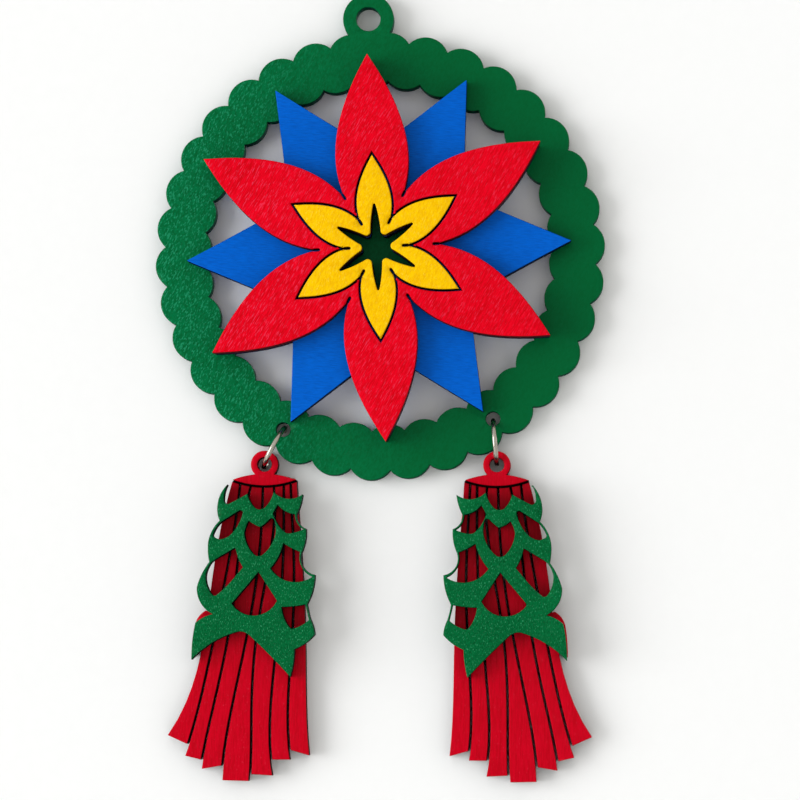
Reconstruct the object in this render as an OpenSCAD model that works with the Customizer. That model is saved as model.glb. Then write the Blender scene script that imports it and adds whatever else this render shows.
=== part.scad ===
// Parol star lantern: a flat hanging ornament of layered, painted plywood plates.
// A scalloped frame carries a star, a flower and an inlaid flower, and two tassels hang on jump rings.
// +X is right, +Z is up and the front faces -Y. The origin is the centre of the hanging hole.

/* [Plates] */
// Thickness of every plywood plate
plate_t = 3; // [2:0.25:3.5]
// Radius of the scalloped frame over its scallops
frame_r = 37; // [34:0.5:42]
// Width of the frame's band over its scallops
band_w = 9.2; // [8.6:0.1:11]
// Scallops round the frame
scallops = 34; // [32:2:40]
// Radius of each scallop
scallop_r = 3.9; // [3.7:0.1:4.6]

/* [Hanging tab] */
// Diameter of the tab on top of the frame
tab_d = 8.4; // [7:0.1:10]
// Diameter of the hanging hole
hang_hole_d = 4; // [2:0.1:5]
// Height of the hanging hole above the top of the scallops
tab_rise = 2.3; // [0.5:0.1:2.5]

/* [Star and flowers] */
// How far the star's points lap over the frame's inner scallops
star_lap = 3.7; // [2:0.1:5]
// Radius of the star's inner corners
star_notch_r = 16.5; // [14:0.5:18]
// How far the star is glued above the frame's centre
star_rise = 0.5; // [0:0.1:1]
// How far the flower's petals lap over the frame's inner scallops
flower_lap = 4; // [2:0.1:5]
// Width of a flower petal
petal_w = 12.2; // [9:0.1:13]
// Radius of the notches between the flower's petals
petal_notch_r = 9.4; // [8.5:0.1:11]
// How far the flower is glued above the frame's centre
flower_rise = 0.8; // [0:0.1:1.4]
// How far the flower is glued to the left of the frame's centre
flower_shift = 0.25; // [0:0.05:0.6]
// Step back of the star's arms from the edge of the petals above them
arm_inset = 0.1; // [0:0.05:0.5]
// Radius of the inlaid flower's tips
inlay_tip_r = 15.1; // [13:0.1:18]
// Width of an inlaid petal
inlay_petal_w = 5.9; // [5:0.1:6.5]
// Radius of the notches between the inlaid petals
inlay_notch_r = 4.4; // [4:0.1:5]
// Gap that the laser leaves round the inlaid flower
kerf = 0.35; // [0.1:0.05:0.4]
// Width of the short slots where the notches between petals end
notch_end_d = 0.45; // [0.3:0.05:0.7]
// Length of those slots between the middles of their round ends
notch_end_l = 0.8; // [0.2:0.1:1.2]
// Radius of the points of the star-shaped opening
spark_tip_r = 7; // [5:0.1:9]
// Width of the rounded ends of those points
spark_tip_w = 0.35; // [0.2:0.05:0.5]
// Radius of the rounded inner corners of the star-shaped opening
spark_corner_r = 2.75; // [2.4:0.05:3.2]
// Diameter of the disc behind the star-shaped opening
disc_d = 19; // [16:0.5:24]

/* [Jump rings] */
// Wire of a jump ring
wire_d = 0.8; // [0.5:0.05:1]
// Mean diameter of a jump ring
ring_d = 7.2; // [7:0.1:8]
// Angle of the slit where the ring was closed
ring_slit = 3; // [1:1:8]
// Diameter of the holes for the rings in the frame
link_hole_d = 2.4; // [2.2:0.1:2.8]
// Centre of those holes inside the tips of the scallops
link_hole_in = 4.3; // [3.8:0.1:5]
// Scallops from the bottom of the frame to each hole
link_steps = 3; // [2:1:4]
// Lean of the left ring out from straight down
left_ring_lean = 31; // [25:1:38]
// Lean of the right ring out from straight down
right_ring_lean = 2; // [2:1:45]
// From the left link hole to the left tassel's eyelet
left_reach = 6.5; // [6.4:0.1:7.4]
// From the right link hole to the right tassel's eyelet
right_reach = 7.6; // [7.6:0.1:7.8]

/* [Tassels] */
// Diameter of the eyelet on top of a tassel
eye_d = 4.5; // [3.8:0.1:4.6]
// Diameter of the hole in the eyelet
eye_hole_d = 2.4; // [2.3:0.1:2.6]
// Width of the cap
cap_w = 10.4; // [9.6:0.1:11]
// Height of the cap's lens shape
cap_h = 1.9; // [1.6:0.1:2.2]
// Middle of the cap below the eyelet's centre
cap_drop = 2.5; // [2.2:0.1:2.8]
// Width of the scored line under the cap
score_w = 0.4; // [0.2:0.05:0.6]
// Depth of the scored line
score_depth = 0.8; // [0.3:0.1:1.2]
// Width of the slots between the fringe strips
slot_w = 0.4; // [0.2:0.05:0.6]
// Extra length of every fringe strip
fringe_extra = 0; // [-3:0.5:3]
// Lean of both tassels, clockwise seen from the front
tassel_lean = 3; // [0:0.5:5]

/* [Hidden] */
$fn = 64;

// Steps along each arc and each curve of an outline
arc_steps = 10;
curve_steps = 16;

// How far a cutter reaches past the faces that it cuts
past = 1;

// Depths of the layers: each one's back face along Y
frame_back = plate_t / 2;
star_back = frame_back - plate_t;
flower_back = star_back - plate_t;

// The frame below the hanging hole
frame_z = -(frame_r + tab_rise);
frame_inner_r = frame_r - band_w;
outer_centre_r = frame_r - scallop_r;
inner_centre_r = frame_inner_r + scallop_r;
pitch = 360 / scallops;

// The star and the flowers above the frame's centre
points = 6;
star_place = [0, frame_z + star_rise];
flower_place = [-flower_shift, frame_z + flower_rise];
star_tip_r = frame_inner_r + star_lap;
flower_tip_r = frame_inner_r + flower_lap;

// Shape of a petal: where its curve's two handles stand, as shares of its length and half width
tip_handle = [0.33, 0.8];
root_handle = [0.32, 1.28];
// A gap beside a petal is this much longer at the sharp tip than at the sides
tip_growth = 2;
// Half angles of a spark point's foot and of the corner between two points, and the bulge of each
spark_foot = 17.5;
spark_side_bulge = 0.05;
spark_corner_bulge = -0.56;
spark_tip_bulge = 0.6;

// Places of the link holes and of the tassels' eyelets, as [X, Z]
link_hole_r = frame_r - link_hole_in;
link_angle = link_steps * pitch;
left_hole = [-link_hole_r * sin(link_angle), frame_z - link_hole_r * cos(link_angle)];
right_hole = [link_hole_r * sin(link_angle), frame_z - link_hole_r * cos(link_angle)];
left_eye = left_hole + left_reach * [-sin(left_ring_lean), -cos(left_ring_lean)];
right_eye = right_hole + right_reach * [sin(right_ring_lean), -cos(right_ring_lean)];

// The cap is a lens between two arcs of this radius
cap_rise = cap_h / 2;
cap_arc_r = ((cap_w / 2) ^ 2 + cap_rise ^ 2) / cap_h;
cap_arc_centre = -cap_drop - cap_rise + cap_arc_r;

// Fringe of a tassel that flares to the right: each edge and slot as the places across that pull its
// curve, at even steps from the cap's middle down to this depth
fringe_depth = 45;
fringe_runs = [
    [-5.3, -5.9, -7.8, -6.3, -7.6], [-4.3, -4.7, -6.5, -2.8, -4.5], [-3.2, -3.2, -3.8, -0.3, -1.3],
    [-1.4, -3.5, 3, 1.7, 1.9], [0.2, 0.3, 1.1, 5, 6.4], [1.9, 5.4, 3.4, 7.8, 9.8],
    [3.9, 4.8, 8, 8.9, 12.8], [5.2, 8.4, 9.9, 8, 18.1]
];
// Lengths of the left and right edge of each strip below the cap's middle
strip_ends = [
    [45, 44.1], [45.7, 45.7], [48.3, 48.1], [49.2, 49.1], [46.7, 47.3], [45.8, 45.1], [43.3, 41.8]
];
strips = len(strip_ends);
// Depth of the fringe's top edge below the cap's middle
fringe_start = 0.1;
// Shoulder of the fringe under the lattice's lowest lobe: [across, up, bulge to the next point]
shoulder_edge = [[9.1, -24.1, 0], [9.5, -23.95, -0.2], [11.2, -26.1, -0.05], [11.6, -31.4, 0], [10, -29.5, 0]];

// Lattice of a tassel that flares to the right, from its eyelet: [across, up, bulge to the next point]
lattice_edge = [
    [-6.5, -5.05, 0.38], [-1.75, -4.65, 0.14], [-0.35, -7.2, 0.34], [1.3, -7.25, 0.14], [2.55, -4.95, 0.03],
    [5.7, -6.65, 0.45], [6.4, -5.9, 0.12], [5.8, -3.45, -0.19], [7.45, -7.1, -0.12], [7.05, -9.35, -0.16],
    [8.9, -12.8, -0.08], [8.7, -16.1, -0.1], [10.7, -20.2, -0.3], [8.1, -24.6, -0.14], [10.9, -26, -0.06],
    [11.5, -32, 0.14], [3.9, -27.4, 0.22], [2, -28.1, 0.02], [-4.65, -34.75, -0.07], [-5.3, -30.25, -0.13],
    [-8.6, -27.85, -0.1], [-7.9, -25.35, 0.03], [-7.35, -22.95, -0.12], [-8.6, -18.15, 0.47],
    [-6.4, -14.55, -0.13], [-7.1, -10.65, 0.35], [-5.55, -8.3, -0.1]
];
// Windows of the lattice: four in the middle and on the outer side, then three on the inner side, where
// thin strands join the ends of the arms
lattice_holes = [
    [[3.25, -8, -0.4], [3.8, -7.65, 0], [6.8, -9.55, -0.12], [8.15, -11.6, -0.3], [7.95, -12.05, -0.05],
     [7.1, -12.4, -0.2], [5, -11.4, -0.13]],
    [[-1.95, -9.35, -0.4], [-1.5, -8.95, -0.2], [-1.05, -9.15, 0.06], [0.4, -10.4, 0.1], [2.3, -9.35, -0.1],
     [3, -11.3, -0.18], [1.5, -14.75, -0.45], [-0.2, -14.75, -0.15], [-2.05, -11.7, -0.1]],
    [[4.45, -13.75, 0], [7.1, -15.3, -0.05], [8.4, -16.2, -0.12], [9.25, -18.2, -0.15], [8.75, -20.6, -0.1],
     [8.2, -21.45, -0.35], [7.5, -21.5, -0.05], [5, -19.1, 0], [3.2, -16.95, 0.1]],
    [[0.65, -17.7, 0], [5, -22.9, -0.58], [-2.4, -22.4, 0]],
    [[-6.72, -10.76, 0.06], [-4.5, -11.4, 0.25], [-3.3, -10.95, 0.12], [-1.65, -8.2, 0], [-2.45, -6.75, -0.22],
     [-5.25, -8.27, -0.3]],
    [[-8.15, -18.5, 0.42], [-1.3, -17.1, -0.13], [-3.4, -13, -0.08], [-6.13, -14.41, -0.38]],
    [[-7.64, -25.5, 0.12], [-5.1, -26.9, 0.3], [-4.5, -26.75, 0.15], [-3.15, -23.4, -0.05], [-7.05, -22.98, 0]]
];

// Point on the arc from p to q. A positive bulge bows to the right of the way from p to q.
function arc_point(p, q, bulge, t) =
    let (half = (q - p) / 2, side = [half[1], -half[0]])
    abs(bulge) < 0.001 ? p + 2 * t * half :
    let (sweep = 4 * atan(bulge), radius = (1 + bulge ^ 2) / (2 * bulge), turn = sweep * (t - 0.5))
    p + half + half * radius * sin(turn) + side * (bulge - radius * (1 - cos(turn)));

// Closed outline through points with bulges
function arc_outline(path) = [
    for (i = [0 : len(path) - 1])
        let (p = path[i], q = path[(i + 1) % len(path)], steps = abs(p[2]) < 0.001 ? 1 : arc_steps)
            for (k = [0 : steps - 1])
                arc_point([p[0], p[1]], [q[0], q[1]], p[2], k / steps)
];

// Point at a share t of the curve that a row of places pulls
function bezier(p, t) =
    len(p) == 1 ? p[0] : bezier([for (i = [0 : len(p) - 2]) p[i] * (1 - t) + p[i + 1] * t], t);

// One side of a petal along +X, from its tip to the notch beside it
function petal_side(tip_r, half_w, notch_r) =
    let (root = notch_r * [cos(180 / points), sin(180 / points)], run = tip_r - root[0])
    let (handles = [[tip_r - tip_handle[0] * run, tip_handle[1] * half_w],
                    [root[0] + root_handle[0] * run, root_handle[1] * half_w]])
    [for (k = [0 : curve_steps]) bezier([[tip_r, 0], handles[0], handles[1], root], k / curve_steps)];

// The same side with a gap round it, up to the line midway between two petals
function gap_side(side, gap) =
    let (last = len(side) - 1, slope = tan(180 / points))
    let (moved = [for (k = [0 : last])
        let (along = side[min(k + 1, last)] - side[max(k - 1, 0)])
            side[k] + gap / norm(along) * [along[1], -along[0]]])
    let (over = [for (p = moved) p[1] - slope * p[0]])
    let (kept = len([for (h = over) if (h < 0) h]), step = moved[kept] - moved[kept - 1])
    concat([[side[0][0] + tip_growth * gap, 0]], [for (k = [0 : kept - 1]) moved[k]],
           [moved[kept - 1] + step * over[kept - 1] / (over[kept - 1] - over[kept])]);

// Outline of a whole flower from one side of a petal, with the first petal pointing up
function flower_outline(side) =
    let (last = len(side) - 1)
    let (petal = concat([for (i = [last : -1 : 1]) [side[i][0], -side[i][1]]], [for (i = [0 : last - 1]) side[i]]))
    [for (k = [0 : points - 1]) for (p = petal) turned(p, 90 + k * 360 / points)];

function turned(p, angle) = [p[0] * cos(angle) - p[1] * sin(angle), p[0] * sin(angle) + p[1] * cos(angle)];

// Place on a fringe edge or slot, at a depth below the cap's middle
function fringe_point(edge, shift, depth) =
    [bezier(fringe_runs[edge], depth / fringe_depth) + shift, -cap_drop - depth];

function fringe_edge(edge, shift, first, last) =
    [for (k = [0 : curve_steps]) fringe_point(edge, shift, first + (last - first) * k / curve_steps)];

// Depth where a slot starts: the middle of the scored line
function slot_start(edge) =
    cap_rise - cap_arc_r + sqrt(cap_arc_r ^ 2 - fringe_runs[edge][0] ^ 2) + score_w / 2;

// The fringe's outer edge with the shoulder put in
function shouldered(path) =
    let (top = shoulder_edge[0][1], foot = shoulder_edge[len(shoulder_edge) - 1][1])
    concat([for (p = path) if (p[1] > top) p], arc_outline(shoulder_edge), [for (p = path) if (p[1] < foot) p]);

function reversed(path) = [for (i = [len(path) - 1 : -1 : 0]) path[i]];

// A plate drawn in X and Z, from its back face towards the front
module plate(back) {
    translate([0, back, 0])
        rotate([90, 0, 0])
            linear_extrude(plate_t)
                children();
}

// A hole straight through a plate that lies at this back face
module drill(back, place, diameter) {
    translate([place[0], back + past, place[1]])
        rotate([90, 0, 0])
            cylinder(d = diameter, h = plate_t + 2 * past);
}

module scallop_ring(centre_r, first) {
    for (k = [0 : scallops - 1])
        rotate(first + k * pitch)
            translate([centre_r, 0])
                circle(r = scallop_r);
}

module petals(tip_r, width, notch_r) {
    polygon(flower_outline(petal_side(tip_r, width / 2, notch_r)));
}

// Short slots with round ends, one at the foot of each notch between the petals of a flower
module notch_ends(notch_r) {
    for (k = [0 : points - 1])
        rotate(90 + (k + 0.5) * 360 / points)
            hull()
                for (slot_r = [notch_r, notch_r + notch_end_l])
                    translate([slot_r, 0])
                        circle(d = notch_end_d);
}

// Thin six-pointed opening with rounded inner corners
module spark() {
    turn = 360 / points;
    foot = spark_corner_r;
    half_tip = atan(spark_tip_w / 2 / spark_tip_r);
    polygon(arc_outline([
        for (k = [0 : points - 1])
            let (a = 90 + k * turn)
                each [
                    [spark_tip_r * cos(a - half_tip), spark_tip_r * sin(a - half_tip), spark_tip_bulge],
                    [spark_tip_r * cos(a + half_tip), spark_tip_r * sin(a + half_tip), spark_side_bulge],
                    [foot * cos(a + spark_foot), foot * sin(a + spark_foot), spark_corner_bulge],
                    [foot * cos(a + turn - spark_foot), foot * sin(a + turn - spark_foot), spark_side_bulge]
                ]
    ]));
}

module star_points() {
    turn = 360 / points;
    polygon([
        for (k = [0 : points - 1])
            let (a = 90 + turn / 2 + k * turn)
                each [
                    star_tip_r * [cos(a), sin(a)],
                    star_notch_r * [cos(a + turn / 2), sin(a + turn / 2)]
                ]
    ]);
}

module scalloped_frame() {
    color("#06784f")
        difference() {
            plate(frame_back) {
                translate([0, frame_z])
                    difference() {
                        union() {
                            circle(r = outer_centre_r);
                            scallop_ring(outer_centre_r, 90 + pitch / 2);
                        }
                        difference() {
                            circle(r = inner_centre_r);
                            scallop_ring(inner_centre_r, 90);
                        }
                    }
                circle(d = tab_d);
            }
            drill(frame_back, [0, 0], hang_hole_d);
            drill(frame_back, left_hole, link_hole_d);
            drill(frame_back, right_hole, link_hole_d);
        }
}

module centre_disc() {
    color("#055a38")
        plate(frame_back)
            translate(flower_place)
                circle(d = disc_d);
}

module star_plate() {
    color("#015cc7")
        plate(star_back)
            difference() {
                union() {
                    translate(star_place)
                        star_points();
                    translate(flower_place)
                        petals(flower_tip_r - tip_growth * arm_inset, petal_w - 2 * arm_inset,
                               petal_notch_r - arm_inset);
                }
                translate(flower_place)
                    spark();
            }
}

module flower_plate() {
    color("#e4041f")
        plate(flower_back)
            translate(flower_place)
                difference() {
                    petals(flower_tip_r, petal_w, petal_notch_r);
                    polygon(flower_outline(gap_side(petal_side(inlay_tip_r, inlay_petal_w / 2, inlay_notch_r), kerf)));
                    notch_ends(petal_notch_r);
                }
}

module inlay_flower() {
    color("#fac805")
        plate(flower_back)
            translate(flower_place)
                difference() {
                    petals(inlay_tip_r, inlay_petal_w, inlay_notch_r);
                    notch_ends(inlay_notch_r);
                    spark();
                }
}

// A ring midway between a link hole and an eyelet, leaning this far to the right of straight down
module jump_ring(hole, eye, lean) {
    middle = (hole + eye) / 2;
    color("silver")
        translate([middle[0], 0, middle[1]])
            rotate([0, 90 - lean, 0])
                rotate(90 + ring_slit / 2)
                    rotate_extrude(angle = 360 - ring_slit)
                        translate([ring_d / 2, 0])
                            circle(d = wire_d);
}

module left_jump_ring() {
    jump_ring(left_hole, left_eye, -left_ring_lean);
}

module right_jump_ring() {
    jump_ring(right_hole, right_eye, right_ring_lean);
}

// A tassel hangs from its eyelet. side is 1 where it flares to the right, -1 where it flares to the left.
module hung_tassel(eye, side) {
    translate([eye[0], 0, eye[1]])
        rotate([0, tassel_lean, 0])
            mirror([side < 0 ? 1 : 0, 0, 0])
                children();
}

module fringe() {
    difference() {
        polygon(concat(
            fringe_edge(0, 0, fringe_start, strip_ends[0][0] + fringe_extra),
            [for (k = [1 : strips - 1])
                each [
                    fringe_point(k, 0, strip_ends[k - 1][1] + fringe_extra),
                    fringe_point(k, 0, strip_ends[k][0] + fringe_extra)
                ]
            ],
            reversed(shouldered(fringe_edge(strips, 0, fringe_start, strip_ends[strips - 1][1] + fringe_extra)))
        ));
        for (k = [1 : strips - 1])
            let (end = max(strip_ends[k - 1][1], strip_ends[k][0]) + fringe_extra + past)
                polygon(concat(
                    fringe_edge(k, -slot_w / 2, slot_start(k), end),
                    reversed(fringe_edge(k, slot_w / 2, slot_start(k), end))
                ));
    }
}

module tassel_base() {
    color("#c80221")
        difference() {
            plate(frame_back) {
                circle(d = eye_d);
                intersection() {
                    translate([0, cap_arc_centre])
                        circle(r = cap_arc_r);
                    translate([0, -2 * cap_drop - cap_arc_centre])
                        circle(r = cap_arc_r);
                }
                fringe();
            }
            drill(frame_back, [0, 0], eye_hole_d);
            translate([0, star_back + score_depth, cap_arc_centre])
                rotate([90, 0, 0])
                    linear_extrude(score_depth + past)
                        difference() {
                            circle(r = cap_arc_r + score_w);
                            circle(r = cap_arc_r);
                        }
        }
}

module tassel_lattice() {
    color("#035f30")
        plate(star_back)
            difference() {
                polygon(arc_outline(lattice_edge));
                for (hole = lattice_holes)
                    polygon(arc_outline(hole));
            }
}

module left_tassel_base() {
    hung_tassel(left_eye, -1)
        tassel_base();
}

module right_tassel_base() {
    hung_tassel(right_eye, 1)
        tassel_base();
}

module left_tassel_lattice() {
    hung_tassel(left_eye, -1)
        tassel_lattice();
}

module right_tassel_lattice() {
    hung_tassel(right_eye, 1)
        tassel_lattice();
}

scalloped_frame();
centre_disc();
star_plate();
flower_plate();
inlay_flower();
left_jump_ring();
right_jump_ring();
left_tassel_base();
right_tassel_base();
left_tassel_lattice();
right_tassel_lattice();
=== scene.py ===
# %% [markdown]
# # A parol ornament in painted plywood
#
# The object is a flat hanging star lantern: layers of 3 mm plywood, cut by a laser, painted, and glued on
# top of each other, with two tassels that hang from wire rings. Its shapes come ready from the CAD model,
# so this lesson is about what Blender adds: rounded rims, paint, burnt edges, wire, light and a camera.
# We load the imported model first. Its pieces are the fixed frame of the scene and are never moved.

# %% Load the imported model
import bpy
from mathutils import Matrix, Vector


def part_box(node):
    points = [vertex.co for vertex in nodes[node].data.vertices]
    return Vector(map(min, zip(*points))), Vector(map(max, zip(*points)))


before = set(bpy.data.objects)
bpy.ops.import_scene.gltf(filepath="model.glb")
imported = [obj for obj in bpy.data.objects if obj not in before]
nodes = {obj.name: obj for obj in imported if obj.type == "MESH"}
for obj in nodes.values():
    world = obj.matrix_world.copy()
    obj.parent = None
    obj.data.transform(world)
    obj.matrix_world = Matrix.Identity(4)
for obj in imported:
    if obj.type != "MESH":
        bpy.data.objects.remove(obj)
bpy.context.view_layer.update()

from math import pi, radians

import bpy
from mathutils import Matrix, Vector

MM = 0.001
print("plates and rings:", sorted(nodes))

# %% [markdown]
# ## Three small helpers
#
# Colours are written as the hex values that a painter's chart or a web page would give. Blender
# calculates with linear light, so one function turns hex into linear numbers. The second function adds
# one node to a tree: it takes the node's own options, and for each socket either a value or the output
# that feeds it. Sockets go by name where the names differ. A Math node counts its values 0, 1, 2. A Mix
# node has its sockets three times under the same names, so it counts too: 2 and 3 mix numbers, 4 and 5
# vectors, 6 and 7 colours, and its outputs 0, 1 and 2 give them. The third function starts an empty
# material.

# %% Colour, node and material helpers
def linear(hex_code):
    channels = [int(hex_code[i:i + 2], 16) / 255 for i in (1, 3, 5)]
    return (*(c / 12.92 if c <= 0.04045 else ((c + 0.055) / 1.055) ** 2.4 for c in channels), 1.0)


def add_node(tree, kind, options=None, sockets=None):
    node = tree.nodes.new(kind)
    for name, value in (options or {}).items():
        setattr(node, name, value)
    for name, value in (sockets or {}).items():
        if isinstance(value, bpy.types.NodeSocket):
            tree.links.new(value, node.inputs[name])
        else:
            node.inputs[name].default_value = value
    return node


def new_material(name):
    material = bpy.data.materials.new(name)
    material.use_nodes = True
    material.node_tree.nodes.clear()
    return material, material.node_tree


print("white in linear light:", linear("#ffffff"))

# %% [markdown]
# ## The camera
#
# The ornament is seen from straight in front, from a little to the right and below its middle, through a
# long lens from about two thirds of a metre. A camera could be aimed with a constraint, but three plain
# angles are easier to match to a picture: tilt up, turn, and roll. The first quarter turn makes a camera
# that looks along +Y, which is how an ornament that hangs on a wall is seen.

# %% Camera
camera_place = Vector((29.58, -661.99, -113.16)) * MM
camera_tilt = radians(4.317)
camera_turn = radians(2.377)
camera_roll = radians(-2.781)
camera_lens = 182.06
nearest_seen = 0.01

camera_data = bpy.data.cameras.new("front_camera")
camera_data.lens = camera_lens
camera_data.clip_start = nearest_seen
camera = bpy.data.objects.new("front_camera", camera_data)
aim = Matrix.Rotation(radians(90), 4, "X") @ Matrix.Rotation(camera_turn, 4, "Y")
aim = aim @ Matrix.Rotation(camera_tilt, 4, "X") @ Matrix.Rotation(camera_roll, 4, "Z")
camera.matrix_world = Matrix.Translation(camera_place) @ aim
bpy.context.scene.collection.objects.link(camera)
bpy.context.scene.camera = camera
print("camera is", round(camera_place.length, 3), "m from the hanging hole")

# %% [markdown]
# ## A white board behind, a pale floor below
#
# The ornament lies flat against a white board, a tenth of a millimetre behind the plates, so its shadows
# start right at its edges. The wire rings reach a little through the board, as they would press into soft
# felt. Board and floor could be scaled planes, but four corners in numbers say plainly where each one
# lies. They are not part of the object.

# %% A flat sheet for the stage
def flat_sheet(name, corners, material):
    mesh = bpy.data.meshes.new(name)
    mesh.from_pydata(corners, [], [(0, 1, 2, 3)])
    mesh.materials.append(material)
    sheet = bpy.data.objects.new(name, mesh)
    bpy.context.scene.collection.objects.link(sheet)
    print(name, "is made of", material.name)


board_gap = 0.1 * MM
board_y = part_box("scalloped_frame")[1][1] + board_gap
board_half = 0.9
floor_z = -0.9
floor_half = 6.0
print("board stands at y =", round(board_y / MM, 2), "mm")

# %% [markdown]
# ## Matt white card
#
# Card is bright and matt, with short fibres that mottle it very slightly. The lamp stands on the left, so
# the card is toned down a little more on that side, which keeps it just below full white. A second lamp
# on the right could even out the board as well, but it would also light the shadows, so we use a ramp in
# the card.

# %% White card
card_fibre = 2.0 * MM
fibre_share = 0.02
tone_half = 70.0 * MM
tone_left = 0.935
tone_right = 0.97

board_white, tree = new_material("matt_white_card")
fibre = add_node(tree, "ShaderNodeTexNoise", {}, {"Scale": 2 * board_half / card_fibre, "Detail": 2.0})
place = add_node(tree, "ShaderNodeTexCoord")
axes = add_node(tree, "ShaderNodeSeparateXYZ", {}, {0: place.outputs["Object"]})
tone = add_node(tree, "ShaderNodeMapRange", {},
                {"Value": axes.outputs["X"], "From Min": -tone_half, "From Max": tone_half,
                 "To Min": tone_left, "To Max": tone_right})
shade = add_node(tree, "ShaderNodeMath", {"operation": "MULTIPLY_ADD"},
                 {0: fibre.outputs["Fac"], 1: fibre_share, 2: tone.outputs[0]})
print("card goes from", tone_left, "to", tone_right, "over", 2 * tone_half / MM, "mm")

# %% [markdown]
# ## Black slots in the fringe
#
# The slots between the fringe strips are 0.4 mm wide and 3 mm deep, with burnt walls, so hardly any light
# comes back out of them and the eye sees black lines. Here a bright board lies close behind, and the
# slots would look grey. So shade is painted into the board itself: it is dimmed where walls stand close on
# all sides, which Ambient Occlusion measures. This painted shade is a help for the picture and no part of
# the object. The link holes and eyelets above the fringe show the white card, so no shade is painted there.

# %% Dimmed board
slot_reach = 2.5 * MM
slot_rays = 8
slot_closed = 0.125
slot_open = 0.15
fringe_top = -76.0 * MM

openness = add_node(tree, "ShaderNodeAmbientOcclusion", {"samples": slot_rays}, {"Distance": slot_reach})
in_the_open = add_node(tree, "ShaderNodeMapRange", {},
                       {"Value": openness.outputs["AO"], "From Min": slot_closed, "From Max": slot_open})
above = add_node(tree, "ShaderNodeMath", {"operation": "GREATER_THAN"},
                 {0: axes.outputs["Z"], 1: fringe_top})
free_of_slot_shade = add_node(tree, "ShaderNodeMath", {"operation": "MAXIMUM"},
                 {0: in_the_open.outputs[0], 1: above.outputs[0]})
# Painted shade: the card is darkened in the slots between the fringe strips
card_with_slot_shade = add_node(tree, "ShaderNodeMath", {"operation": "MULTIPLY"},
                  {0: shade.outputs[0], 1: free_of_slot_shade.outputs[0]})
print("board is dimmed below z =", fringe_top / MM, "mm, in gaps up to", slot_reach / MM, "mm")

# %% [markdown]
# ## A board with one side
#
# A solid board would hide the back of the ornament from a camera behind it. It could be left out of such
# views, but a script should give the same scene for every camera. So this board is one-sided: its back
# face lets the view through, and it casts no shadow, so that the lamps behind light the back of the
# plates.

# %% One-sided board
card = add_node(tree, "ShaderNodeBsdfDiffuse", {}, {"Color": card_with_slot_shade.outputs[0]})
clear = add_node(tree, "ShaderNodeBsdfTransparent")
board_side = add_node(tree, "ShaderNodeNewGeometry")
path = add_node(tree, "ShaderNodeLightPath")
seen_through = add_node(tree, "ShaderNodeMath", {"operation": "MAXIMUM"},
                        {0: board_side.outputs["Backfacing"], 1: path.outputs["Is Shadow Ray"]})
one_sided = add_node(tree, "ShaderNodeMixShader", {},
                     {0: seen_through.outputs[0], 1: card.outputs[0], 2: clear.outputs[0]})
add_node(tree, "ShaderNodeOutputMaterial", {}, {"Surface": one_sided.outputs[0]})
flat_sheet("white_board",
           [(-board_half, board_y, floor_z), (board_half, board_y, floor_z),
            (board_half, board_y, board_half), (-board_half, board_y, board_half)], board_white)

# %% [markdown]
# ## A pale floor
#
# The floor lies far below the ornament. It only gives some light back from below and a quiet ground to
# views from above, so a matt pale grey in large soft patches is enough.

# %% Pale floor
floor_patch = 200.0 * MM
floor_low = 0.74
floor_high = 0.78

floor_pale, tree = new_material("matt_pale_floor")
patches = add_node(tree, "ShaderNodeTexNoise", {}, {"Scale": 2 * floor_half / floor_patch, "Detail": 3.0})
grey = add_node(tree, "ShaderNodeMapRange", {},
                {"Value": patches.outputs["Fac"], "To Min": floor_low, "To Max": floor_high})
matt = add_node(tree, "ShaderNodeBsdfDiffuse", {}, {"Color": grey.outputs["Result"]})
add_node(tree, "ShaderNodeOutputMaterial", {}, {"Surface": matt.outputs[0]})
flat_sheet("pale_floor",
           [(-floor_half, -floor_half, floor_z), (floor_half, -floor_half, floor_z),
            (floor_half, floor_half, floor_z), (-floor_half, floor_half, floor_z)], floor_pale)

# %% [markdown]
# ## Soft light from all round
#
# The light is that of a bright room with a large window on the left. The world gives its wide, soft part.
# It is nearly even: a little brighter and cooler on the left, dimmer and warmer on the right, and in
# between behind the camera. An image of a real room could give this too, but a script that reads no image
# needs plain levels. Light this even has no bright spots to search for, so the world's own sampling is
# off.

# %% World
left_level = 0.9
right_level = 0.68
front_level = 0.85
left_end, right_end = -1.0, 0.2
front_end, side_end = -0.95, -0.5
# Tints of the light itself, already linear: cool from the window, warm from the room
daylight = (0.91, 1.0, 1.03, 1.0)
room_light = (1.0, 0.97, 0.93, 1.0)

world = bpy.data.worlds.new("window_light")
bpy.context.scene.world = world
world.use_nodes = True
world.cycles.sampling_method = "NONE"
tree = world.node_tree
tree.nodes.clear()
round_about = add_node(tree, "ShaderNodeTexCoord")
direction = add_node(tree, "ShaderNodeSeparateXYZ", {}, {0: round_about.outputs["Generated"]})
to_right = add_node(tree, "ShaderNodeMapRange", {"interpolation_type": "SMOOTHSTEP"},
                    {"Value": direction.outputs["X"], "From Min": left_end, "From Max": right_end})
side_level = add_node(tree, "ShaderNodeMix", {}, {0: to_right.outputs[0], 2: left_level, 3: right_level})
to_sides = add_node(tree, "ShaderNodeMapRange", {"interpolation_type": "SMOOTHSTEP"},
                    {"Value": direction.outputs["Y"], "From Min": front_end, "From Max": side_end})
level = add_node(tree, "ShaderNodeMix", {},
                 {0: to_sides.outputs[0], 2: front_level, 3: side_level.outputs[0]})
tint = add_node(tree, "ShaderNodeMix", {"data_type": "RGBA"},
                {0: to_right.outputs[0], 6: daylight, 7: room_light})
sky = add_node(tree, "ShaderNodeBackground", {}, {"Color": tint.outputs[2], "Strength": level.outputs[0]})
add_node(tree, "ShaderNodeOutputWorld", {}, {"Surface": sky.outputs[0]})
print("world gives", left_level, "on the left,", front_level, "in front and", right_level, "on the right")

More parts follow.
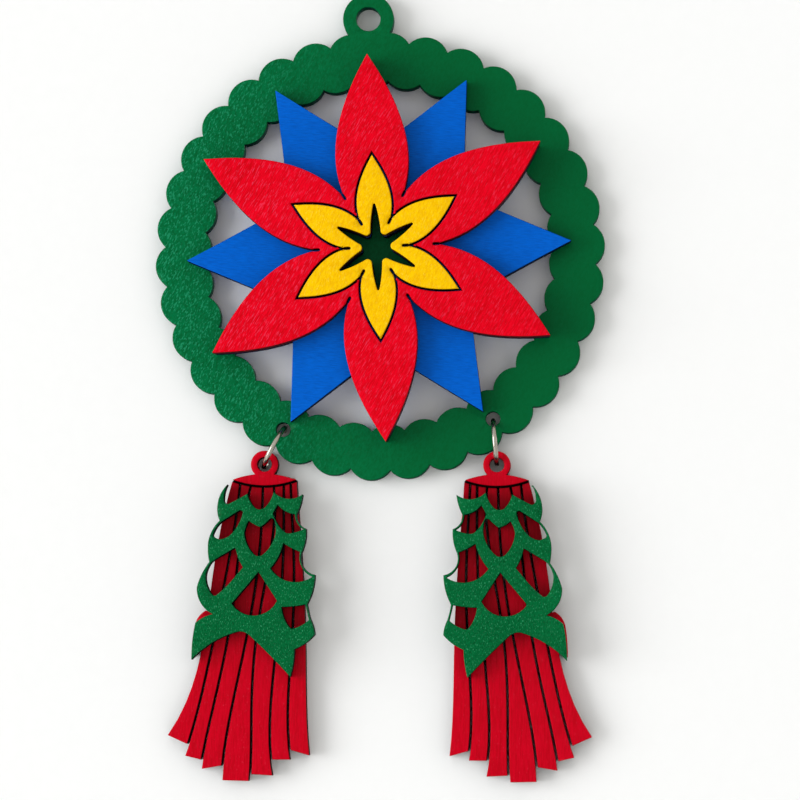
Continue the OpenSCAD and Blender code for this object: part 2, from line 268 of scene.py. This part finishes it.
# %% [markdown]
# ## Soft boxes
#
# One soft box on the left adds the part of the light that throws shadows. With the world it comes to
# about 1 on a card that faces the camera, the plain level at which a colour renders as it is written. An
# area lamp of power P gives P / (pi x pi x d x d) at the distance d, so the power is worked out from the
# level that we want. The two lamps behind give their light once only, with no bounces, so that they light
# the back and nothing else.

# %% Lamps
middle = Vector((0.0, 0.0, -62.0)) * MM


def soft_box(name, place, size, level, bounces=None):
    lamp = bpy.data.lights.new(name, "AREA")
    lamp.shape = "DISK"
    lamp.size = size
    towards = middle - Vector(place)
    lamp.energy = level * pi * pi * towards.length_squared
    if bounces is not None:
        lamp.cycles.max_bounces = bounces
    holder = bpy.data.objects.new(name, lamp)
    holder.location = place
    holder.rotation_euler = towards.to_track_quat("-Z", "Y").to_euler()
    holder.visible_camera = False
    bpy.context.scene.collection.objects.link(holder)
    print(name, "gives level", level, "with", round(lamp.energy, 2), "W")


soft_box("left_soft_box", (-1.5, -0.95, 0.0), size=1.3, level=0.61)
for side, sign in (("left", -1), ("right", 1)):
    soft_box("rear_" + side + "_soft_box", (sign * 0.35, 0.45, 0.15), size=0.30, level=0.45, bounces=0)

# %% [markdown]
# ## Edges rounded by paint
#
# A laser leaves square edges, and the paint on the faces rounds them by 0.1 mm, or by 0.17 mm on the
# flower and its inlay, where the coat is thicker. That is enough to catch a thin line of light. The CAD
# mesh itself stays as it is: a geometry-nodes modifier makes the rounded rim. A Bevel modifier could do
# it too, but it tangles on outlines with this many short edges. First join the vertices that the file
# format had split, and drop the normals that came with the file.

# %% A node group for the rim
thin_rim = 0.1 * MM
thick_rim = 0.17 * MM
weld_within = 0.001 * MM


def new_mesh_group(name):
    group = bpy.data.node_groups.new(name, "GeometryNodeTree")
    for way in ("INPUT", "OUTPUT"):
        group.interface.new_socket("Geometry", in_out=way, socket_type="NodeSocketGeometry")
    return group


rounding = new_mesh_group("paint_rounded_rim")
rim_width = rounding.interface.new_socket("Rim", in_out="INPUT", socket_type="NodeSocketFloat")
source = add_node(rounding, "NodeGroupInput")
joined = add_node(rounding, "GeometryNodeMergeByDistance", {},
                  {"Geometry": source.outputs["Geometry"], "Distance": weld_within})
plain = add_node(rounding, "GeometryNodeSetMeshNormal", {"mode": "SHARPNESS"},
                 {"Mesh": joined.outputs[0], "Remove Custom": True, "Edge Sharpness": True})
print("rim group welds vertices within", weld_within / MM, "mm")

# %% [markdown]
# ## Walls and flat faces
#
# The flat faces of a plate look along Y and its cut walls look away from Y, so the normal tells them
# apart. Each point of an outline belongs to faces of both kinds. A value that is asked for on faces
# reaches a point as the mean over the faces round it. So we send three values that way: the walls'
# normals, the share of walls, and the side to which the flat face looks. The first divided by the second
# is the walls' mean normal.

# %% Walls round each point
wall_limit = 0.5
smallest_share = 0.001

normal = add_node(rounding, "GeometryNodeInputNormal")
split = add_node(rounding, "ShaderNodeSeparateXYZ", {}, {0: normal.outputs["Normal"]})
along_y = add_node(rounding, "ShaderNodeMath", {"operation": "ABSOLUTE"}, {0: split.outputs["Y"]})
is_wall = add_node(rounding, "ShaderNodeMath", {"operation": "LESS_THAN"},
                   {0: along_y.outputs[0], 1: wall_limit})
is_flat = add_node(rounding, "ShaderNodeMath", {"operation": "SUBTRACT"}, {0: 1.0, 1: is_wall.outputs[0]})
wall_normal = add_node(rounding, "ShaderNodeVectorMath", {"operation": "SCALE"},
                       {0: normal.outputs["Normal"], "Scale": is_wall.outputs[0]})
flat_side = add_node(rounding, "ShaderNodeMath", {"operation": "MULTIPLY"},
                     {0: split.outputs["Y"], 1: is_flat.outputs[0]})
mean_of_faces = {}
for meaning, data_type, value in (("wall normal", "FLOAT_VECTOR", wall_normal),
                                  ("wall share", "FLOAT", is_wall), ("flat side", "FLOAT", flat_side)):
    on_faces = add_node(rounding, "GeometryNodeFieldOnDomain", {"domain": "FACE", "data_type": data_type},
                        {"Value": value.outputs[0]})
    mean_of_faces[meaning] = on_faces.outputs[0]
wall_share = add_node(rounding, "ShaderNodeMath", {"operation": "MAXIMUM"},
                      {0: mean_of_faces["wall share"], 1: smallest_share})
mean = add_node(rounding, "ShaderNodeVectorMath", {"operation": "DIVIDE"},
                {0: mean_of_faces["wall normal"], 1: wall_share.outputs[0]})
print("each point of an outline knows", ", ".join(mean_of_faces))

# %% [markdown]
# ## How far a rim reaches
#
# The face is drawn in by the rim's width, against the walls' mean normal. At a corner that mean is
# shorter than 1, and dividing by its square keeps the same width beside both walls. A limit keeps the
# sharpest tips from running away. The walls' edge moves back from the face by the same width, along Y.
# Both moves are stored on the points before the mesh changes.

# %% Moves for the rim
blunt_limit = 0.15

rim_back = add_node(rounding, "ShaderNodeMath", {"operation": "MULTIPLY"},
                    {0: source.outputs["Rim"], 1: -1.0})
square = add_node(rounding, "ShaderNodeVectorMath", {"operation": "DOT_PRODUCT"},
                  {0: mean.outputs[0], 1: mean.outputs[0]})
blunt = add_node(rounding, "ShaderNodeMath", {"operation": "MAXIMUM"},
                 {0: square.outputs["Value"], 1: blunt_limit})
pull = add_node(rounding, "ShaderNodeMath", {"operation": "DIVIDE"},
                {0: rim_back.outputs[0], 1: blunt.outputs[0]})
inward = add_node(rounding, "ShaderNodeVectorMath", {"operation": "SCALE"},
                  {0: mean.outputs[0], "Scale": pull.outputs[0]})
front_or_back = add_node(rounding, "ShaderNodeMath", {"operation": "SIGN"}, {0: mean_of_faces["flat side"]})
down = add_node(rounding, "ShaderNodeMath", {"operation": "MULTIPLY"},
                {0: front_or_back.outputs[0], 1: rim_back.outputs[0]})
back = add_node(rounding, "ShaderNodeCombineXYZ", {}, {"Y": down.outputs[0]})
moves = {}
stored = plain
for move, vector in (("inward", inward), ("back", back)):
    stored = add_node(rounding, "GeometryNodeStoreNamedAttribute",
                      {"domain": "POINT", "data_type": "FLOAT_VECTOR"},
                      {"Geometry": stored.outputs[0], "Name": move, "Value": vector.outputs[0]})
    again = add_node(rounding, "GeometryNodeInputNamedAttribute", {"data_type": "FLOAT_VECTOR"},
                     {"Name": move})
    moves[move] = again.outputs["Attribute"]
print("stored moves:", ", ".join(moves))

# %% [markdown]
# ## The strip between face and wall
#
# Extruding the flat faces by nothing puts a strip of new faces between each of them and its walls. Then
# the two stored moves open that strip, and it is the rim. A few thin triangles of the flat faces turn
# over as their corners draw in. They would shade as dark or pale streaks, so those that look the wrong
# way are flipped. Last, only edges over 50 degrees stay sharp, and smooth shading makes the rim look
# round.

# %% Rim and shading
sharp_angle = radians(50)

strip = add_node(rounding, "GeometryNodeExtrudeMesh", {"mode": "FACES"},
                 {"Mesh": stored.outputs[0], "Selection": is_flat.outputs[0], "Offset Scale": 0.0,
                  "Individual": False})
drawn_in = add_node(rounding, "GeometryNodeSetPosition", {},
                    {"Geometry": strip.outputs["Mesh"], "Selection": strip.outputs["Top"],
                     "Offset": moves["inward"]})
not_top = add_node(rounding, "FunctionNodeBooleanMath", {"operation": "NOT"}, {0: strip.outputs["Top"]})
moved_back = add_node(rounding, "GeometryNodeSetPosition", {},
                      {"Geometry": drawn_in.outputs[0], "Selection": not_top.outputs[0],
                       "Offset": moves["back"]})
turned_over = add_node(rounding, "ShaderNodeVectorMath", {"operation": "DOT_PRODUCT"},
                       {0: normal.outputs["True Normal"], 1: moves["back"]})
wrong_way = add_node(rounding, "ShaderNodeMath", {"operation": "GREATER_THAN"},
                     {0: turned_over.outputs["Value"], 1: thin_rim / 2})
turned_back = add_node(rounding, "GeometryNodeFlipFaces", {},
                       {"Mesh": moved_back.outputs[0], "Selection": wrong_way.outputs[0]})
angle = add_node(rounding, "GeometryNodeInputMeshEdgeAngle")
sharp = add_node(rounding, "FunctionNodeCompare", {"operation": "GREATER_THAN"},
                 {"A": angle.outputs["Unsigned Angle"], "B": sharp_angle})
smoothed = add_node(rounding, "GeometryNodeSetMeshNormal", {"mode": "SHARPNESS"},
                    {"Mesh": turned_back.outputs[0], "Remove Custom": True,
                     "Edge Sharpness": sharp.outputs[0], "Face Sharpness": False})
add_node(rounding, "NodeGroupOutput", {}, {0: smoothed.outputs[0]})
print("rim group has", len(rounding.nodes), "nodes")

# %% [markdown]
# ## Level flat faces
#
# Smooth shading bends the light on a flat face near its rim, which shows as fans of thin triangles. A
# weighted-normal modifier takes most of that away, but not all. So a second group sets the normals
# itself: every point that touches a flat face gets the normal of that face, straight along Y, and the
# rim's shading runs from there down to the wall.

# %% A node group for level faces
flat_limit = 0.9

levelling = new_mesh_group("level_flat_faces")
mesh_in = add_node(levelling, "NodeGroupInput")
own_normal = add_node(levelling, "GeometryNodeInputNormal")
of_face = add_node(levelling, "GeometryNodeFieldOnDomain", {"domain": "FACE", "data_type": "FLOAT_VECTOR"},
                   {"Value": own_normal.outputs["True Normal"]})
face_axes = add_node(levelling, "ShaderNodeSeparateXYZ", {}, {0: of_face.outputs[0]})
face_along_y = add_node(levelling, "ShaderNodeMath", {"operation": "ABSOLUTE"}, {0: face_axes.outputs["Y"]})
face_is_flat = add_node(levelling, "ShaderNodeMath", {"operation": "GREATER_THAN"},
                        {0: face_along_y.outputs[0], 1: flat_limit})
face_side = add_node(levelling, "ShaderNodeMath", {"operation": "MULTIPLY"},
                     {0: face_axes.outputs["Y"], 1: face_is_flat.outputs[0]})
at_point = add_node(levelling, "GeometryNodeFieldOnDomain", {"domain": "POINT", "data_type": "FLOAT"},
                    {"Value": face_side.outputs[0]})
point_side = add_node(levelling, "ShaderNodeMath", {"operation": "SIGN"}, {0: at_point.outputs[0]})
level_normal = add_node(levelling, "ShaderNodeCombineXYZ", {}, {"Y": point_side.outputs[0]})
touches = add_node(levelling, "ShaderNodeMath", {"operation": "ABSOLUTE"}, {0: point_side.outputs[0]})
chosen = add_node(levelling, "ShaderNodeMix", {"data_type": "VECTOR"},
                  {0: touches.outputs[0], 4: own_normal.outputs["Normal"], 5: level_normal.outputs[0]})
levelled = add_node(levelling, "GeometryNodeSetMeshNormal", {"mode": "FREE", "domain": "CORNER"},
                    {"Mesh": mesh_in.outputs[0], "Custom Normal": chosen.outputs[1]})
add_node(levelling, "NodeGroupOutput", {}, {0: levelled.outputs[0]})
print("level group has", len(levelling.nodes), "nodes")

# %% [markdown]
# ## Rims on the plates
#
# Every piece except the wire rings is a plate and gets the same three modifiers: the rim, the weighted
# normals and the level faces. Modifiers leave the CAD mesh below them untouched, which applied changes
# would not.

# %% Modifiers on the plates
face_weight = 80

plates = [name for name in nodes if "ring" not in name]
for name in plates:
    plate = nodes[name]
    paint_round = plate.modifiers.new("paint_round", "NODES")
    paint_round.node_group = rounding
    paint_round[rim_width.identifier] = thick_rim if "flower" in name else thin_rim
    flat_faces = plate.modifiers.new("flat_faces", "WEIGHTED_NORMAL")
    flat_faces.weight = face_weight
    flat_faces.keep_sharp = True
    plate.modifiers.new("level_faces", "NODES").node_group = levelling
print("rounded", len(plates), "plates by", thin_rim / MM, "to", thick_rim / MM, "mm")

# %% [markdown]
# ## Acrylic paint on laser-cut birch plywood
#
# All plates are the same thing in five colours: birch plywood, cut by a laser, with satin acrylic paint
# brushed on its faces. The eye sees four things. The grain of the wood runs under the paint as fine
# ridges. Fibre tips stand up through it as pale specks. The coat is a little thicker and thinner in soft
# patches. And the cut walls are burnt dark, with the middle ply a little paler. A photograph of such a
# sheet could be wrapped round each plate, but noise that is stretched along the grain gives the same look
# at any distance. It lies in the piece's own coordinates, so it moves with the piece. We turn these to
# millimetres first, and a copy of them so that the grain runs along Z. From here on, sizes on a sheet are
# in millimetres.

# %% Places on a sheet
def sheet_places(tree, grain_angle):
    place = add_node(tree, "ShaderNodeTexCoord")
    in_mm = add_node(tree, "ShaderNodeMapping", {},
                     {"Vector": place.outputs["Object"], "Scale": (1 / MM, 1 / MM, 1 / MM)})
    turned = add_node(tree, "ShaderNodeMapping", {},
                      {"Vector": in_mm.outputs[0], "Rotation": (0.0, radians(grain_angle - 90), 0.0)})
    axes = add_node(tree, "ShaderNodeSeparateXYZ", {}, {0: in_mm.outputs[0]})
    facing = add_node(tree, "ShaderNodeSeparateXYZ", {}, {0: place.outputs["Normal"]})
    return {"mm": in_mm.outputs[0], "grain": turned.outputs[0], "x": axes.outputs["X"],
            "y": axes.outputs["Y"], "z": axes.outputs["Z"], "facing": facing.outputs["Y"]}


print("a sheet is measured in steps of", MM, "m")

# %% [markdown]
# ## Grain and fibre tips
#
# Birch has fine pores, about 0.1 mm wide, and a dot of the picture covers 0.165 mm. So both patterns are
# drawn coarser than the real ones, 0.12 to 0.28 mm wide, or they would not show at all. The grain is a
# noise that is long along the grain and narrow across it. The tips are the highest parts of a second
# noise.

# %% Wood texture
tip_softness = 0.15


def wood_texture(tree, where, grain, tips):
    along = add_node(tree, "ShaderNodeMapping", {}, {
        "Vector": where["grain"],
        "Scale": (1 / grain["width"], 1 / grain["width"], 1 / grain["length"])})
    ridges = add_node(tree, "ShaderNodeTexNoise", {},
                      {"Vector": along.outputs[0], "Scale": 1.0, "Detail": 3.0, "Roughness": 0.6})
    dots = add_node(tree, "ShaderNodeMapping", {}, {
        "Vector": where["grain"],
        "Scale": (1 / tips["width"], 1 / tips["width"], 1 / tips["length"])})
    fibres = add_node(tree, "ShaderNodeTexNoise", {},
                      {"Vector": dots.outputs[0], "Scale": 1.0, "Detail": 1.0})
    raised = add_node(tree, "ShaderNodeMapRange", {"interpolation_type": "SMOOTHSTEP"},
                      {"Value": fibres.outputs["Fac"], "From Min": tips["limit"],
                       "From Max": tips["limit"] + tip_softness})
    return ridges.outputs["Fac"], raised.outputs[0]


print("fibre tips rise over", tip_softness, "of the noise")

# %% [markdown]
# ## Colour of a painted face
#
# Ridges and a thick coat show the paint's full colour, hollows and a thin coat its darker shade, and tips
# a lighter one, which also stands in for a painted glint of the light on them. Away from the window the
# same ridges throw less light and shade, so light falloff is painted in: there the tone slides towards the
# darker shade and the tips fade, and the paint is drawn duller. Some plates show that much more than
# others, so each paint has its own painted falloff from left to right.

# %% Painted face
coat_change = 0.15
patch_low, patch_high = 0.3, 0.7
ridge_low, ridge_high = 0.36, 0.6


def face_paint(tree, colours, ridges, patch, painted_light, specks_and_glints):
    coat = add_node(tree, "ShaderNodeMapRange", {},
                    {"Value": patch, "From Min": patch_low, "From Max": patch_high,
                     "To Min": -coat_change, "To Max": coat_change})
    ridge_tone = add_node(tree, "ShaderNodeMapRange", {},
                          {"Value": ridges, "From Min": ridge_low, "From Max": ridge_high})
    tone = add_node(tree, "ShaderNodeMath", {"operation": "ADD", "use_clamp": True},
                    {0: ridge_tone.outputs[0], 1: coat.outputs[0]})
    # Painted light falloff: the tone slides towards the darker shade to the right
    lit_tone = add_node(tree, "ShaderNodeMath", {"operation": "MULTIPLY"}, {0: tone.outputs[0], 1: painted_light})
    coated = add_node(tree, "ShaderNodeMix", {"data_type": "RGBA"},
                      {0: lit_tone.outputs[0], 6: linear(colours["shade"]), 7: linear(colours["paint"])})
    # Fibre tips, drawn lighter, also stand in for painted glints
    speckled = add_node(tree, "ShaderNodeMix", {"data_type": "RGBA"},
                        {0: specks_and_glints, 6: coated.outputs[2], 7: linear(colours["light"])})
    return speckled.outputs[2]


print("the coat changes the tone by up to", coat_change)

# %% [markdown]
# ## Painted shadow below the caps
#
# Each tassel has a line scored by the laser under its cap, and the fringe is painted darker just below that
# line: a painted shadow of the cap. The line is part of a circle, so the painted shadow is drawn by the
# distance from the circle's middle: full at the line, and gone a few millimetres further out.

# %% Painted cap shadow
cap_arc_r = 14.9
cap_shadow_reach = 7.0
cap_shadow_share = 0.42


def painted_cap_shadow(tree, where, face, shadow_colour, arc_middle):
    in_sheet = add_node(tree, "ShaderNodeCombineXYZ", {}, {"X": where["x"], "Z": where["z"]})
    from_middle = add_node(tree, "ShaderNodeVectorMath", {"operation": "DISTANCE"},
                           {0: in_sheet.outputs[0], 1: (arc_middle[0], 0.0, arc_middle[1])})
    below = add_node(tree, "ShaderNodeMath", {"operation": "GREATER_THAN"},
                     {0: from_middle.outputs["Value"], 1: cap_arc_r})
    fading = add_node(tree, "ShaderNodeMapRange", {},
                      {"Value": from_middle.outputs["Value"], "From Min": cap_arc_r,
                       "From Max": cap_arc_r + cap_shadow_reach, "To Min": cap_shadow_share, "To Max": 0.0})
    cap_shadow = add_node(tree, "ShaderNodeMath", {"operation": "MULTIPLY"},
                     {0: below.outputs[0], 1: fading.outputs[0]})
    cap_shadowed = add_node(tree, "ShaderNodeMix", {"data_type": "RGBA"},
                      {0: cap_shadow.outputs[0], 6: face, 7: linear(shadow_colour)})
    return cap_shadowed.outputs[2]


# Prints how far the painted cap shadow reaches
print("smoke fades over", cap_shadow_reach, "mm")

# %% [markdown]
# ## Burnt walls
#
# The laser burns the cut walls. All sheets are 3 mm thick and stacked, so the distance from the middle of
# a sheet repeats every 3 mm along Y. Within half a millimetre of it lies the middle ply, which burns a
# little paler, and scorch marks mottle the rest. A place counts as painted where its normal looks along
# Y, which takes in the rim, and where it lies on the outside of the sheet. The floor of the scored line
# is flat too, but deeper than the paint, so it is burnt.

# %% Burnt walls and painted parts
ply_sheet = 3.0
middle_ply_half = 0.5
ply_blur = 0.1
ply_pale = 0.35
scorch_size = 0.77
scorch_share = 0.5
paint_depth = 0.2
wall_end, rim_end = 0.08, 0.3


def burnt_wall(tree, where, colours, from_middle):
    middle_ply = add_node(tree, "ShaderNodeMapRange", {},
                          {"Value": from_middle, "From Min": middle_ply_half + ply_blur,
                           "From Max": middle_ply_half - ply_blur, "To Max": ply_pale})
    scorch = add_node(tree, "ShaderNodeTexNoise", {},
                      {"Vector": where["mm"], "Scale": 1 / scorch_size, "Detail": 3.0})
    burn = add_node(tree, "ShaderNodeMath", {"operation": "MULTIPLY_ADD"},
                    {0: scorch.outputs["Fac"], 1: scorch_share, 2: middle_ply.outputs[0]})
    wall = add_node(tree, "ShaderNodeMix", {"data_type": "RGBA"},
                    {0: burn.outputs[0], 6: linear(colours["char"]), 7: linear(colours["warm_char"])})
    return wall.outputs[2]


def painted_share(tree, where, from_middle):
    flat = add_node(tree, "ShaderNodeMath", {"operation": "ABSOLUTE"}, {0: where["facing"]})
    level = add_node(tree, "ShaderNodeMapRange", {},
                     {"Value": flat.outputs[0], "From Min": wall_end, "From Max": rim_end})
    outside = add_node(tree, "ShaderNodeMath", {"operation": "GREATER_THAN"},
                       {0: from_middle, 1: ply_sheet / 2 - paint_depth})
    painted = add_node(tree, "ShaderNodeMath", {"operation": "MULTIPLY"},
                       {0: level.outputs[0], 1: outside.outputs[0]})
    return painted.outputs[0]


print("paint reaches", paint_depth, "mm down from a face")

# %% [markdown]
# ## The whole finish
#
# Now the parts come together in one function that makes a painted sheet. Heights are in millimetres, so
# the Bump node gets one millimetre as its distance. Acrylic has an IOR of about 1.5. Its specular level
# is far below the usual 0.5, because this thin brushed coat over rough wood shows hardly any reflection
# of the room.

# %% Painted plywood
coat_patch = 9.1
painted_falloff_power = 6.0
roughness_change = 0.04
burnt_roughness = 0.85
acrylic_ior = 1.5
faint_gloss = 0.04


def wood_relief(tree, ridges, raised, glint_and_relief_falloff, grain, tips):
    ridge_height = add_node(tree, "ShaderNodeMath", {"operation": "MULTIPLY"},
                            {0: ridges, 1: grain["height"]})
    height = add_node(tree, "ShaderNodeMath", {"operation": "MULTIPLY_ADD"},
                      {0: raised, 1: tips["height"], 2: ridge_height.outputs[0]})
    relief = add_node(tree, "ShaderNodeBump", {},
                      {"Strength": glint_and_relief_falloff, "Distance": 1 * MM, "Height": height.outputs[0]})
    return relief.outputs[0]


def painted_plywood(name, colours, grain, tips, painted_falloff, roughness, arc_middle=None):
    material, tree = new_material(name)
    where = sheet_places(tree, grain["angle"])
    ridges, raised = wood_texture(tree, where, grain, tips)
    # Painted light falloff along X; raised to a power, it also fades the tips' painted glints and the
    # relief
    painted_light = add_node(tree, "ShaderNodeMapRange", {"interpolation_type": "SMOOTHSTEP"},
                      {"Value": where["x"], "From Min": painted_falloff["start"], "From Max": painted_falloff["end"],
                       "To Min": 1.0, "To Max": painted_falloff["rest"]}).outputs[0]
    glint_and_relief_falloff = add_node(tree, "ShaderNodeMath", {"operation": "POWER"},
                        {0: painted_light, 1: painted_falloff_power}).outputs[0]
    shown = add_node(tree, "ShaderNodeMath", {"operation": "MULTIPLY"}, {0: raised, 1: glint_and_relief_falloff})
    specks_and_glints = add_node(tree, "ShaderNodeMath", {"operation": "MULTIPLY"},
                      {0: shown.outputs[0], 1: tips["share"]})
    patch = add_node(tree, "ShaderNodeTexNoise", {},
                     {"Vector": where["mm"], "Scale": 1 / coat_patch, "Detail": 3.0}).outputs["Fac"]
    face = face_paint(tree, colours, ridges, patch, painted_light, specks_and_glints.outputs[0])
    # Painted shadow of the cap on the fringe, for the tassels only
    if arc_middle:
        face = painted_cap_shadow(tree, where, face, colours["char"], arc_middle)
    from_middle = add_node(tree, "ShaderNodeMath", {"operation": "PINGPONG"},
                           {0: where["y"], 1: ply_sheet / 2}).outputs[0]
    wall = burnt_wall(tree, where, colours, from_middle)
    painted = painted_share(tree, where, from_middle)
    colour = add_node(tree, "ShaderNodeMix", {"data_type": "RGBA"}, {0: painted, 6: wall, 7: face})
    satin = add_node(tree, "ShaderNodeMapRange", {},
                     {"Value": patch, "From Min": patch_low, "From Max": patch_high,
                      "To Min": roughness - roughness_change, "To Max": roughness + roughness_change})
    rough = add_node(tree, "ShaderNodeMix", {}, {0: painted, 2: burnt_roughness, 3: satin.outputs[0]})
    shader = add_node(tree, "ShaderNodeBsdfPrincipled", {},
                      {"Base Color": colour.outputs[2], "Roughness": rough.outputs[0],
                       "Normal": wood_relief(tree, ridges, raised, glint_and_relief_falloff, grain, tips),
                       "IOR": acrylic_ior, "Specular IOR Level": faint_gloss})
    add_node(tree, "ShaderNodeOutputMaterial", {}, {"Surface": shader.outputs[0]})
    print(name, "has grain at", grain["angle"], "degrees,", grain["height"], "mm high")
    return material


# %% [markdown]
# ## Two green sheets
#
# The sheets differ in colour, in the direction, size and height of their grain, and in how many fibre
# tips show. Sizes are in millimetres, and a tip's limit is how high the noise has to be to count as one.
# A painted light falloff goes from full at its start to the share that is left at its end, along X.

# %% Green paints
paints = {}
# Thin brushed coat: raised tips give pale specks and painted glints on the left, and painted light falloff
# leaves the right dark and even
paints["green_plywood"] = painted_plywood(
    "green_acrylic_on_birch_plywood",
    {"paint": "#006e3e", "shade": "#005c2e", "light": "#28a074", "char": "#023428", "warm_char": "#075242"},
    grain={"angle": 62, "width": 0.28, "length": 0.6, "height": 0.016},
    tips={"width": 0.2, "length": 0.45, "limit": 0.53, "share": 0.5, "height": 0.01},
    painted_falloff={"start": -26, "end": 20, "rest": 0.25}, roughness=0.26)
# A finer sheet for the lattices: small sharp specks all over, and walls burnt nearly black
paints["lattice_green"] = painted_plywood(
    "green_acrylic_on_fine_birch_plywood",
    {"paint": "#006b38", "shade": "#004f26", "light": "#44b480", "char": "#020a0c", "warm_char": "#06181a"},
    grain={"angle": 84, "width": 0.15, "length": 0.5, "height": 0.013},
    tips={"width": 0.14, "length": 0.36, "limit": 0.585, "share": 0.55, "height": 0.01},
    painted_falloff={"start": -100, "end": 100, "rest": 1.0}, roughness=0.26)

# %% [markdown]
# ## Blue, red and yellow sheets
#
# The star has the smoothest coat, with streaks that hardly rise. The flower has the finest ridges, and
# they run on a slant. The inlay's walls are brown, where the laser only scorched them.

# %% Star and flower paints
# Smooth coat along the grain: long faint streaks and hardly any specks
paints["blue_plywood"] = painted_plywood(
    "blue_acrylic_on_birch_plywood",
    {"paint": "#0064d2", "shade": "#0056bc", "light": "#1a74dc", "char": "#020a1e", "warm_char": "#06204a"},
    grain={"angle": 172, "width": 0.18, "length": 1.6, "height": 0.006},
    tips={"width": 0.18, "length": 1.8, "limit": 0.62, "share": 0.25, "height": 0.003},
    painted_falloff={"start": -40, "end": 40, "rest": 0.89}, roughness=0.28)
# Coat brushed on a slant: long fine ridges with pink tips, which are partly a painted glint
paints["red_plywood"] = painted_plywood(
    "red_acrylic_on_birch_plywood",
    {"paint": "#ee0020", "shade": "#cc0010", "light": "#f44a70", "char": "#34090c", "warm_char": "#6a1c20"},
    grain={"angle": 58, "width": 0.14, "length": 1.4, "height": 0.014},
    tips={"width": 0.12, "length": 0.9, "limit": 0.57, "share": 0.5, "height": 0.011},
    painted_falloff={"start": -40, "end": 60, "rest": 0.84}, roughness=0.26)
# Thick pale coat: short soft ridges with light tops
paints["yellow_plywood"] = painted_plywood(
    "yellow_acrylic_on_birch_plywood",
    {"paint": "#fecb00", "shade": "#f2b600", "light": "#ffe050", "char": "#160a02", "warm_char": "#7a4206"},
    grain={"angle": 68, "width": 0.2, "length": 0.8, "height": 0.012},
    tips={"width": 0.16, "length": 0.6, "limit": 0.58, "share": 0.5, "height": 0.008},
    painted_falloff={"start": -40, "end": 40, "rest": 0.95}, roughness=0.28)

# %% [markdown]
# ## Dark red tassels
#
# Both tassels have the same dark red paint, brushed along the strips. The painted shadow below the cap
# needs the middle of the cap's circle, given in the plane of the plates as X and Z in millimetres, so each
# side has a paint of its own.

# %% Tassel paints
cap_arc_middles = {"left": (-19.97, -61.43), "right": (18.07, -63.46)}
# Coat brushed along the strips: long soft streaks, few specks, and walls burnt black
for side, arc_middle in cap_arc_middles.items():
    paints[side + "_tassel_base"] = painted_plywood(
        side + "_dark_red_acrylic_on_birch_plywood",
        {"paint": "#cc001e", "shade": "#ba0016", "light": "#e8506a",
         "char": "#0a0203", "warm_char": "#24080a"},
        grain={"angle": 86, "width": 0.2, "length": 2.0, "height": 0.006},
        tips={"width": 0.16, "length": 0.4, "limit": 0.66, "share": 0.25, "height": 0.005},
        painted_falloff={"start": -100, "end": 100, "rest": 1.0}, roughness=0.3, arc_middle=arc_middle)

# %% [markdown]
# ## Nickel-plated wire
#
# The jump rings are drawn steel wire with a thin nickel plating, so they are bright, slightly warm and
# faintly scuffed. A metal has no paint colour: its base colour is what it reflects. A picture of a room
# could be reflected in it, but wire this thin shows only light and dark, which the lamps and the board
# give.

# %% Wire
scuff_size = 0.4 * MM
scuff_height = 0.01 * MM
scuff_strength = 0.3
bright_roughness, scuffed_roughness = 0.14, 0.3

wire, tree = new_material("nickel_plated_drawn_wire")
place = add_node(tree, "ShaderNodeTexCoord")
scuff = add_node(tree, "ShaderNodeTexNoise", {},
                 {"Vector": place.outputs["Object"], "Scale": 1 / scuff_size, "Detail": 3.0})
plating = add_node(tree, "ShaderNodeMix", {"data_type": "RGBA"},
                   {0: scuff.outputs["Fac"], 6: linear("#a8a294"), 7: linear("#c8c2b6")})
haze = add_node(tree, "ShaderNodeMapRange", {},
                {"Value": scuff.outputs["Fac"], "To Min": bright_roughness, "To Max": scuffed_roughness})
dents = add_node(tree, "ShaderNodeBump", {},
                 {"Strength": scuff_strength, "Distance": scuff_height, "Height": scuff.outputs["Fac"]})
metal = add_node(tree, "ShaderNodeBsdfPrincipled", {},
                 {"Base Color": plating.outputs[2], "Metallic": 1.0, "Roughness": haze.outputs[0],
                  "Normal": dents.outputs[0]})
add_node(tree, "ShaderNodeOutputMaterial", {}, {"Surface": metal.outputs[0]})
paints["nickel_wire"] = wire
print(wire.name, "has scuffs of", scuff_size / MM, "mm")

# %% [markdown]
# ## Give each piece its finish
#
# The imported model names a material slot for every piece, so each slot gets the finish of that name. The
# two lattices share the frame's slot and take their own sheet of it, and each tassel base has a paint
# under the piece's own name.

# %% Finishes
for name, piece in nodes.items():
    slot = piece.material_slots[0]
    sheet = "lattice_green" if "lattice" in name else slot.material.name.split(".")[0]
    slot.material = paints[name if name in paints else sheet]
    print(name, "is", slot.material.name)

# %% [markdown]
# ## View settings
#
# The Standard view shows colours as they are.

# %% Finish
bpy.context.scene.view_settings.view_transform = "Standard"
